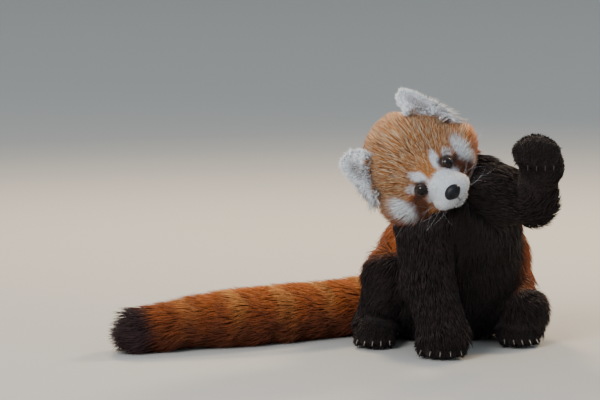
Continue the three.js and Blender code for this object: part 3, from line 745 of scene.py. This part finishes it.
def scattered(chosen, count, lowest=-np.inf):
    """Even roots on the chosen triangles of the hide, with its normals, its unwrap and its region there."""
    weight = triangle_area * chosen
    picked = draw.choice(len(weight), size=count, p=weight / weight.sum())
    a, b = draw.random((2, count))
    fold = a + b > 1
    a, b = np.where(fold, 1 - a, a), np.where(fold, 1 - b, b)
    share = np.stack([1 - a - b, a, b], axis=1)[:, :, None]
    roots = (skin_places[corner_ids[picked]] * share).sum(axis=1)
    normals = unit((skin_normals[corner_ids[picked]] * share).sum(axis=1))
    unwrap = (corner_unwrap[picked] * share).sum(axis=1)
    clear = roots[:, 2] > lowest
    return [found[clear] for found in (roots, normals, unwrap, triangle_region[picked])]


ROOT_DEPTH = 1.0
# painted shade at each hair's root, as the coat shades itself, and painted light towards its tip
PAINTED_ROOT_SHADE, PAINTED_TIP_LIGHT = 0.62, 0.5  # a hair is dark at its root and brighter towards its tip
BLADE_FLATNESS, BLADE_TAPER = 0.55, 0.25
UNWRAP_SHRINK, UNWRAP_SPREAD = 0.99, 0.003  # a tuft's own patch of the unwrap, beside its root's place


def tufts(name, roots, normals, lie, size, unwrap, colours, rings=2):
    """One joined piece of coat. Size gives each tuft's length, width, first and last lift in degrees."""
    count = len(roots)
    length, width, rise, droop = (np.broadcast_to(value, count) for value in size)
    lie = unit(lie - normals * (lie * normals).sum(axis=1, keepdims=True))
    across = np.cross(normals, lie)
    steps = np.linspace(0, 1, rings + 1)
    spots = [roots - normals * ROOT_DEPTH]
    for k in range(rings):
        angle = np.radians(rise + (droop - rise) * (k / max(rings - 1, 1)))[:, None]
        way = lie * np.cos(angle) + normals * np.sin(angle)
        spots.append(spots[-1] + way * (length / rings)[:, None])
    shares = 1 - BLADE_TAPER * steps[:-1] ** 2
    spin = draw.uniform(0, 2 * np.pi, count)
    verts, along = [], []
    for k in range(rings):
        for corner in range(3):
            angle = spin + corner * 2 * np.pi / 3
            offset = across * np.cos(angle)[:, None]
            offset = offset + np.cross(lie, across) * (BLADE_FLATNESS * np.sin(angle))[:, None]
            verts.append(spots[k] + offset * (width * shares[k] / 2)[:, None])
            along.append(np.full(count, steps[k]))
    verts.append(spots[rings])
    along.append(np.ones(count))
    per = len(verts)
    points = np.stack(verts, axis=1).reshape(-1, 3)
    points[:, 2] = np.maximum(points[:, 2], 0.4)  # hair that reaches the floor lies flat on it
    along = np.stack(along, axis=1).reshape(-1)
    faces = [(2, 1, 0)]
    for k in range(rings - 1):
        for corner in range(3):
            a, b = k * 3 + corner, k * 3 + (corner + 1) % 3
            faces += [(a, b, b + 3), (a, b + 3, a + 3)]
    faces += [((rings - 1) * 3 + c, (rings - 1) * 3 + (c + 1) % 3, per - 1) for c in range(3)]
    corners = (np.arange(count)[:, None, None] * per + np.array(faces)[None]).reshape(-1, 3)
    mesh = bpy.data.meshes.new(name)
    mesh.vertices.add(len(points))
    mesh.vertices.foreach_set("co", (points / 1000 + np.array(home)).ravel())
    mesh.loops.add(corners.size)
    mesh.loops.foreach_set("vertex_index", corners.ravel())
    mesh.polygons.add(len(corners))
    mesh.polygons.foreach_set("loop_start", np.arange(len(corners)) * 3)
    mesh.polygons.foreach_set("loop_total", np.full(len(corners), 3))
    mesh.polygons.foreach_set("use_smooth", np.ones(len(corners), bool))
    mesh.update(calc_edges=True)
    # every hair's colour, with the painted shade at its root and the painted light at its tip
    paint(mesh, np.repeat(colours, per, axis=0) * (PAINTED_ROOT_SHADE + PAINTED_TIP_LIGHT * along)[:, None])
    spread = np.stack([np.tile([c % 3 for c in range(per)], count) / 2, along], axis=1) * UNWRAP_SPREAD
    flat = (np.repeat(unwrap * UNWRAP_SHRINK, per, axis=0) + spread)[corners.ravel()]
    mesh.uv_layers.new(name="OFBake").data.foreach_set("uv", flat.ravel())
    mesh.materials.append(coat_hair)
    piece = added(name, mesh)
    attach(piece, "root")


coat_hair = hairy("coat_hair", 0.62, 260, 0.45, 0)


def varied(colours, spread):
    return colours * np.exp(draw.normal(0, spread, len(colours)))[:, None]


def drifting(points, lie, scale, amount, seed):
    """The lie of the coat, turned a little this way and that so that the hair gathers into soft locks."""
    drift = np.stack([wander(points, scale, seed + i) for i in range(3)], axis=1)
    return unit(lie) + drift * amount + draw.normal(0, amount * 0.45, lie.shape)


# The head: short hair that streams back from the nose, longer on the cheeks and over the back of the head.
# Pale and dark hairs are strewn through the gold, and the eyes, the nose and the lips' parting are left bare.
DOWN_THE_BODY = np.array([-0.12, 0.45, -0.9])
is_head = (triangle_region == REGIONS.index("head")) & (triangle_ear == 0)
for part in (1, 2):
    roots, normals, unwrap, _ = scattered(is_head, 18500)
    q = in_head(roots)
    side, up, outwards = np.abs(q[:, 0]), up_face(q), from_face(q)
    lie = (q - [0, -84, -16]) * [1, 0.9, 1] + [0, 12, 4]
    lie = np.where((q[:, 2] < -30)[:, None], lie + [0, 30, -10], lie) @ head_turn.T
    lie = mixed(unit(lie), smooth(q[:, 1], 14, 52), DOWN_THE_BODY)
    length = 5 + 6 * smooth(outwards, 26, 54) + 10 * smooth(outwards, 52, 74)
    length += 8 * smooth(side, 50, 66) * smooth(-q[:, 2], -22, 10)
    length = np.where(q[:, 1] > 0, np.maximum(length, 21 * smooth(q[:, 1], 0, 20)), length)
    length *= draw.uniform(0.75, 1.2, len(roots)) * (0.5 + 0.5 * smooth(from_ears(q), 26, 44))
    width = 0.48 + 0.42 * smooth(length, 8, 20)
    colours = face_colours(roots)
    ticked = (draw.random(len(roots)) < 0.44 * (1 - smooth(q[:, 1], 12, 40))) & (up > 4)
    gold = np.abs(colours - GOLD).sum(axis=1) < 0.14
    colours = np.where((ticked & gold)[:, None], GRIZZLE, colours)
    shaded = (draw.random(len(roots)) < 0.16) & gold & (up > 4)
    colours = np.where(shaded[:, None], BAND, colours)
    from_eye = side - EYE_ACROSS
    lean_x, lean_y = from_eye * 0.87 + up * 0.5, up * 0.87 - from_eye * 0.5
    off_eye = (np.hypot(lean_x / 10.4, lean_y / 7.6) > 1) | (q[:, 1] > -25)
    off_nose = np.linalg.norm((q - [0, -82, -19]) / [12.5, 12, 10], axis=1) > 1
    off_lips = (np.abs(over_lips(q)) > 0.9) | (q[:, 1] > -40)
    keep = off_eye & off_nose & off_lips
    raised = np.maximum(smooth(outwards, 30, 60), smooth(q[:, 1], -10, 15))
    size = (length, width, 27 + 13 * raised, 12 + 10 * raised)
    tufts(
        f"coat_head_{part}",
        roots[keep],
        normals[keep],
        drifting(roots, lie, 26, 0.11, 31)[keep],
        [value[keep] for value in size],
        unwrap[keep],
        varied(colours, 0.16)[keep],
    )

# The ears: white hair that grows up from the root. It is short in the cup and over the back, and long down
# the outer edge.
for side, name in ((1, "left"), (-1, "right")):
    roots, normals, unwrap, _ = scattered(triangle_ear == side, 5200)
    _, half, rise, _ = ear_axes(side)
    across = ear_place(roots, side)[:, 0]
    edge = smooth(across, 0.45, 0.95)
    lie = unit(rise) * (0.8 - 0.9 * edge)[:, None] + unit(half) * (0.9 * across + 0.3)[:, None]
    length = 8 + 19 * edge + 2 * smooth(-across, 0.5, 0.9)
    length *= draw.uniform(0.7, 1.25, len(roots))
    tufts(
        f"coat_ear_{name}",
        roots,
        normals,
        drifting(roots, lie @ head_turn.T, 16, 0.18, 51),
        (length, 0.6 + 0.02 * length, 26, 8),
        unwrap,
        # painted light: the ears' hair is brightened beyond the white of the face
        varied(ear_colours(roots, normals, side) * 1.12, 0.1),
    )

# The trunk and neck: a dense coat that lies from the shoulders down and back to the rump. It stands up a
# little where the head presses against it, and lies flat at the floor.
for part, count in (("trunk_1", 12500), ("trunk_2", 12500), ("neck", 13000)):
    chosen = (triangle_region == REGIONS.index(part.split("_")[0])) & (triangle_ear == 0)
    roots, normals, unwrap, _ = scattered(chosen, count, lowest=3)
    by_head = 1 - smooth(head_form(roots), 4, 30)
    lie = np.tile(DOWN_THE_BODY, (len(roots), 1))
    length = draw.uniform(24, 38, len(roots)) * (1 - 0.15 * by_head)
    rise = 8 + 26 * smooth(roots[:, 2], 4, 34) + 12 * by_head
    tufts(
        f"coat_{part}",
        roots,
        normals,
        drifting(roots, lie, 46, 0.22, 61),
        (length, draw.uniform(1.1, 1.8, len(roots)), rise, 10 + 8 * by_head),
        unwrap,
        varied(body_colours(roots), 0.2),
    )

# The legs and arms: black-brown hair that lies down each limb to the paw, short and close on the paws. On the
# raised paw it runs over the knuckles to the fingertips, and on its heel along the forearm.
for name, (root, bend, end, _) in LIMBS.items():
    in_air = name == "arm_left"
    paw = REGIONS.index("fist" if in_air else "foot_" + name)
    chosen = ((triangle_region == REGIONS.index(name)) | (triangle_region == paw)) & (triangle_ear == 0)
    roots, normals, unwrap, region = scattered(chosen, 8600, lowest=2.5)
    on_paw = region == paw
    upper, lower = np.array(bend, float) - root, np.array(end, float) - bend
    past_bend = smooth(bone(roots, root, bend, 0, 0) - bone(roots, bend, end, 0, 0), -16, 16)
    lie = unit(upper) * (1 - past_bend)[:, None] + unit(lower) * past_bend[:, None]
    grown_out = smooth(trunk_form(roots), 2, 20)[:, None]
    lie = lie * grown_out + DOWN_THE_BODY * (1 - grown_out)
    toeward = np.tile([0, -1, -0.5], (len(roots), 1))
    if in_air:
        over_knuckles = unit(roots - [126, 26, 262]) * [0.5, 1, 0.6] + [0, -0.6, -0.5]
        heel = smooth(roots[:, 1], 14, 30) * (1 - smooth(roots[:, 2], 240, 266))
        toeward = mixed(over_knuckles, heel, unit(lower))
    lie = np.where(on_paw[:, None], toeward, lie)
    off_toes = 0 if in_air else smooth(roots[:, 2], 20, 40)
    on_paw_length = draw.uniform(6, 11, len(roots)) + 8 * off_toes
    length = np.where(on_paw, on_paw_length, draw.uniform(15, 25, len(roots)))
    at_wrist = (1 - smooth(np.linalg.norm(roots - end, axis=1), 34, 60)) * in_air * ~on_paw
    length *= 1 - 0.5 * at_wrist
    rise = np.where(on_paw, 24, 30) * (0.3 + 0.7 * smooth(roots[:, 2], 3, 16)) * (1 - 0.5 * at_wrist)
    tufts(
        f"coat_{name}",
        roots,
        normals,
        drifting(roots, lie, 34, 0.2, 71),
        (length, np.where(on_paw, 1.0, 1.45), rise, 8),
        unwrap,
        varied(limb_colours(roots, name) * np.where(on_paw, 0.9, 1)[:, None], 0.22),
    )

# The tail: the longest hair, standing well out from a thin core and laid back towards the dark end. It lies
# close underneath, where the tail rests on the floor.
for part in (1, 2):
    roots, normals, unwrap, _ = scattered(triangle_region == REGIONS.index("tail"), 15800, lowest=3)
    ways = unit(np.gradient(along_tail(TAIL_PLACES), axis=0))
    lie = ways[(tail_place(roots) * (TAIL_PLACES - 1)).astype(int)]
    length = draw.uniform(26, 44, len(roots))
    off_floor = smooth(roots[:, 2], 4, 26)
    tufts(
        f"coat_tail_{part}",
        roots,
        normals,
        drifting(roots, lie, 40, 0.2, 81),
        (length, draw.uniform(1.1, 1.8, len(roots)), 6 + 31 * off_floor, 9 + 6 * off_floor),
        unwrap,
        varied(tail_colours(roots), 0.2),
    )


# The eyes: wet dark balls with a brown ring round a wide pupil, set in their sockets. Each looks out between
# lids of bare dark skin, which run from the edge of the opening back under the coat of the face.
def colour_by(source, output, shader, stops):
    """Colours a shader by a value that runs from 0 to 1, between stops that begin at 0 and end at 1."""
    ramp = source.id_data.nodes.new("ShaderNodeValToRGB")
    marks = ramp.color_ramp.elements
    for place, colour in stops:
        mark = marks[0] if place == 0 else marks[-1] if place == 1 else marks.new(place)
        mark.color = (*colour, 1)
    wire(source, output, ramp, "Fac")
    wire(ramp, "Color", shader, "Base Color")


eye_wet, eye_tree, eye_shader = material("eye", 0.06, Specular_IOR_Level=0.32)
eye_away = eye_tree.nodes.new("ShaderNodeAttribute")
eye_away.attribute_name = "from_pupil"
eye_stops = (
    (0, (0.002, 0.002, 0.002)),
    (0.4, (0.003, 0.002, 0.002)),
    (0.47, (0.022, 0.009, 0.004)),
    (0.72, (0.016, 0.007, 0.004)),
    (0.85, (0.006, 0.004, 0.004)),
    (1, (0.05, 0.04, 0.04)),
)
colour_by(eye_away, "Fac", eye_shader, eye_stops)

lid_skin, lid_tree, lid_shader = material("lid_skin", 0.35)
lid_where = lid_tree.nodes.new("ShaderNodeTexCoord")
lid_noise = lid_tree.nodes.new("ShaderNodeTexNoise")
lid_noise.inputs["Scale"].default_value = 1400
wire(lid_where, "Object", lid_noise, "Vector")
lid_stops = ((0, (0.008, 0.005, 0.005)), (1, (0.03, 0.018, 0.014)))
colour_by(lid_noise, "Fac", lid_shader, lid_stops)

HALF_OPENING, UPPER_LID, LOWER_LID = 0.0091, 0.0066, 0.0055
LID_SLANT = 30
# Each row of a lid: degrees out from the edge of the opening, and eye radii from the middle of the eye
LID_ROWS = ((0, 1.03), (1, 1.07), (5, 1.10), (16, 1.09), (32, 1.02), (56, 0.84))
for side, name in ((1, "left"), (-1, "right")):
    low, high = (Vector(corner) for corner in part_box("eye_" + name))
    centre = (low + high) / 2
    radius = (high.x - low.x) / 2 * 1.02
    look = Vector(head_turn @ unit(np.array([0.42 * side, -1, 0.12])))
    ball = bmesh.new()
    bmesh.ops.create_uvsphere(ball, u_segments=48, v_segments=32, radius=radius)
    for vert in ball.verts:
        bulge = max(vert.co.z / radius - 0.72, 0)
        vert.co *= 1 + 0.35 * bulge
    bmesh.ops.rotate(ball, matrix=look.to_track_quat("Z", "Y").to_matrix(), verts=ball.verts)
    bmesh.ops.translate(ball, vec=centre, verts=ball.verts)
    eyeball = made_of("eyeball_" + name, ball, eye_wet)
    away = [(v.co - centre).normalized().angle(look) / 1.2 for v in eyeball.data.vertices]
    eyeball.data.attributes.new("from_pupil", "FLOAT", "POINT").data.foreach_set("value", away)
    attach(eyeball, "root")
    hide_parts("eye_" + name)

    rim = bmesh.new()
    bmesh.ops.create_grid(rim, x_segments=48, y_segments=len(LID_ROWS) - 1, size=1)
    upright = Vector(head_turn @ np.array([0.0, 0.0, 1.0]))
    sideways = upright.cross(look).normalized()
    facing = Matrix((sideways, look.cross(sideways), look)).transposed()
    slanted = facing @ Matrix.Rotation(np.radians(LID_SLANT * side), 3, "Z")
    for vert in rim.verts:
        turn = np.pi * (vert.co.x + 1)
        beyond, out = LID_ROWS[round((vert.co.y + 1) / 2 * (len(LID_ROWS) - 1))]
        lid = UPPER_LID if np.sin(turn) > 0 else LOWER_LID
        lift = abs(np.sin(turn)) ** 1.25 * np.sign(np.sin(turn)) * lid
        reach = np.hypot(HALF_OPENING * np.cos(turn), lift)
        open_by = np.arcsin(min(reach / radius, 0.97)) + np.radians(beyond)
        way = Vector((HALF_OPENING * np.cos(turn) / reach, lift / reach, 0)) * np.sin(open_by)
        way.z = np.cos(open_by)
        vert.co = centre + slanted @ way * radius * out
    bmesh.ops.remove_doubles(rim, verts=rim.verts, dist=1e-5)
    bmesh.ops.recalc_face_normals(rim, faces=rim.faces)
    lids = made_of("lids_" + name, rim, lid_skin)
    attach(lids, "root")

# The nose: a broad pad of bare black skin with a fine pebbled grain, set in the end of the muzzle. It has two
# comma-shaped nostrils and a groove down its middle.
leather, leather_tree, leather_shader = material("nose_leather", 0.34, Specular_IOR_Level=0.22)
leather_where = leather_tree.nodes.new("ShaderNodeTexCoord")
pebble = leather_tree.nodes.new("ShaderNodeTexVoronoi")
pebble.inputs["Scale"].default_value = 1500
leather_bump = leather_tree.nodes.new("ShaderNodeBump")
leather_bump.inputs["Strength"].default_value = 0.35
leather_bump.inputs["Distance"].default_value = 0.0004
wire(leather_where, "Object", pebble, "Vector")
wire(pebble, "Distance", leather_bump, "Height")
wire(leather_bump, "Normal", leather_shader, "Normal")
leather_stops = ((0, (0.004, 0.004, 0.006)), (1, (0.012, 0.013, 0.019)))
colour_by(pebble, "Distance", leather_shader, leather_stops)
pad = bmesh.new()
bmesh.ops.create_icosphere(pad, subdivisions=5, radius=1)
half_width, half_depth, half_height = 11.4, 7.4, 9.4
for vert in pad.verts:
    x, y, z = vert.co
    narrow = 1 - 0.22 * smooth(-z, 0, 1)
    groove = 0.10 * np.exp(-((x / 0.09) ** 2)) * smooth(-z, -0.3, 0.4) * (y < 0)
    from_nostril = ((abs(x) - 0.52 + 0.25 * (z + 0.15)) / 0.17) ** 2 + ((z + 0.12) / 0.24) ** 2
    pit = 0.42 * np.exp(-from_nostril) * (y < 0.2)
    wing = 0.10 * np.exp(-(((abs(x) - 0.78) / 0.22) ** 2 + ((z + 0.05) / 0.5) ** 2))
    swell = 1 - groove - pit + wing
    vert.co = (x * half_width * narrow * (1 + wing), y * half_depth * swell, z * half_height)
bmesh.ops.smooth_vert(pad, verts=pad.verts, factor=0.4, use_axis_x=True, use_axis_y=True, use_axis_z=True)
nose_place = Matrix(head_turn).to_4x4()
nose_place.translation = Vector(head_centre + head_turn @ (NOSE_IN_HEAD + [0, 2.6, 0]))
bmesh.ops.transform(pad, matrix=nose_place, verts=pad.verts)
brought_home(pad)
nose_pad = made_of("nose_pad", pad, leather)
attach(nose_pad, "root")
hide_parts("nose")

# The claws: hooked horn, five on each foot, each rooted in its toe. They are pale on the ground, and dark on
# the raised paw, in the shade of its fingers.
horn, horn_tree, horn_shader = material("claw_horn", 0.32, Coat_Weight=0.2)
horn_layer = horn_tree.nodes.new("ShaderNodeAttribute")
horn_layer.attribute_name = "along"
horn_stops = ((0, (0.022, 0.017, 0.015)), (1, (0.5, 0.46, 0.4)))
colour_by(horn_layer, "Fac", horn_shader, horn_stops)
cone = bmesh.new()
bmesh.ops.create_cone(cone, cap_ends=True, segments=8, radius1=1, radius2=0.12, depth=1)
sides = [e for e in cone.edges if abs(e.verts[0].co.z - e.verts[1].co.z) > 0.5]
bmesh.ops.subdivide_edges(cone, edges=sides, cuts=6)
straight_claw = bpy.data.meshes.new("straight_claw")
cone.to_mesh(straight_claw)
claws_bm = bmesh.new()
claw_along = claws_bm.verts.layers.float.new("along")


def add_claw(base, way, length=11.5, thick=1.6, pale=0.7):
    way = Vector(way).normalized()
    sideways = way.cross(Vector((0, 0, 1))).normalized()
    over = sideways.cross(way)
    claws_bm.from_mesh(straight_claw)
    claws_bm.verts.ensure_lookup_table()
    for vert in claws_bm.verts[-len(straight_claw.vertices) :]:
        t = vert.co.z + 0.5
        vert[claw_along] = (0.25 + 0.75 * t) * pale
        point = Vector(base) + way * (t * length) + sideways * (vert.co.x * thick * 0.8)
        vert.co = point + over * (vert.co.y * thick * 1.25 - length * 0.42 * t * t)


claw_nodes = []
for name, (ankle, turn, length, width, toe) in FEET.items():
    spun = turned("Z", turn)
    foot = "forepaw_right" if name == "arm_right" else "hind_foot_" + name.split("_")[1]
    for number, tip in enumerate(toes_of(length, width, toe), start=1):
        add_claw(spun @ (tip + [0, -toe + 4.5, 1.5]) + ankle, spun @ np.array([tip[0] * 0.006, -1, 0.12]))
        claw_nodes.append(f"{foot}_claw_{number}")
for number, (_, fingertip) in enumerate(KNUCKLES, start=1):
    add_claw(fingertip + [0, -1.0, -4.5], (0, 0.1, -1), length=7, pale=0.02)
    claw_nodes.append(f"forepaw_left_claw_{number}")
for vert in claws_bm.verts:
    vert.co.z = max(vert.co.z, 0.3)  # the points rest on the floor
brought_home(claws_bm)
bmesh.ops.recalc_face_normals(claws_bm, faces=claws_bm.faces)
claws = made_of("claws", claws_bm, horn)
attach(claws, "root")
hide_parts(*claw_nodes)

# The whiskers: long stiff white hairs from the pads beside the nose, the brows and the cheeks. Each is one
# thin blade like the coat's, rooted in the hide, with more bends in it.
whisker_roots, whisker_ways = [], []
for side in (1, -1):
    for row in range(3):
        for place in range(4):
            whisker_roots.append([side * (15 + 3.4 * place), -72 + 7 * place, -20 - 5.5 * row])
            whisker_ways.append([side * 1.0, -0.9 + 0.4 * place, 0.5 - 0.42 * row])
    for place in range(3):
        whisker_roots.append([side * (14 + 4 * place), -42.0, 20.0])
        whisker_ways.append([side * (0.35 + 0.15 * place), -0.5, 0.8])
    for place in range(4):
        whisker_roots.append([side * (52 + 2 * place), -22.0 + 4 * place, -14.0 - 3 * place])
        whisker_ways.append([side * 1.0, 0.1, 0.35 - 0.2 * place])
whisker_roots = np.array(whisker_roots) @ head_turn.T + head_centre
whisker_ways = unit(np.array(whisker_ways) + draw.normal(0, 0.08, (len(whisker_roots), 3))) @ head_turn.T
for _ in range(12):
    whisker_roots = whisker_roots - slope_of(flesh, whisker_roots) * flesh(whisker_roots)[:, None] * 0.7
count = len(whisker_roots)
tufts(
    "whiskers",
    whisker_roots,
    slope_of(flesh, whisker_roots),
    whisker_ways,
    (draw.uniform(30, 56, count), 0.11, 48, 10),
    np.stack([np.linspace(0.05, 0.95, count), np.full(count, 0.5)], axis=1),
    np.tile(SNOW, (count, 1)) * 1.1,
    rings=6,
)
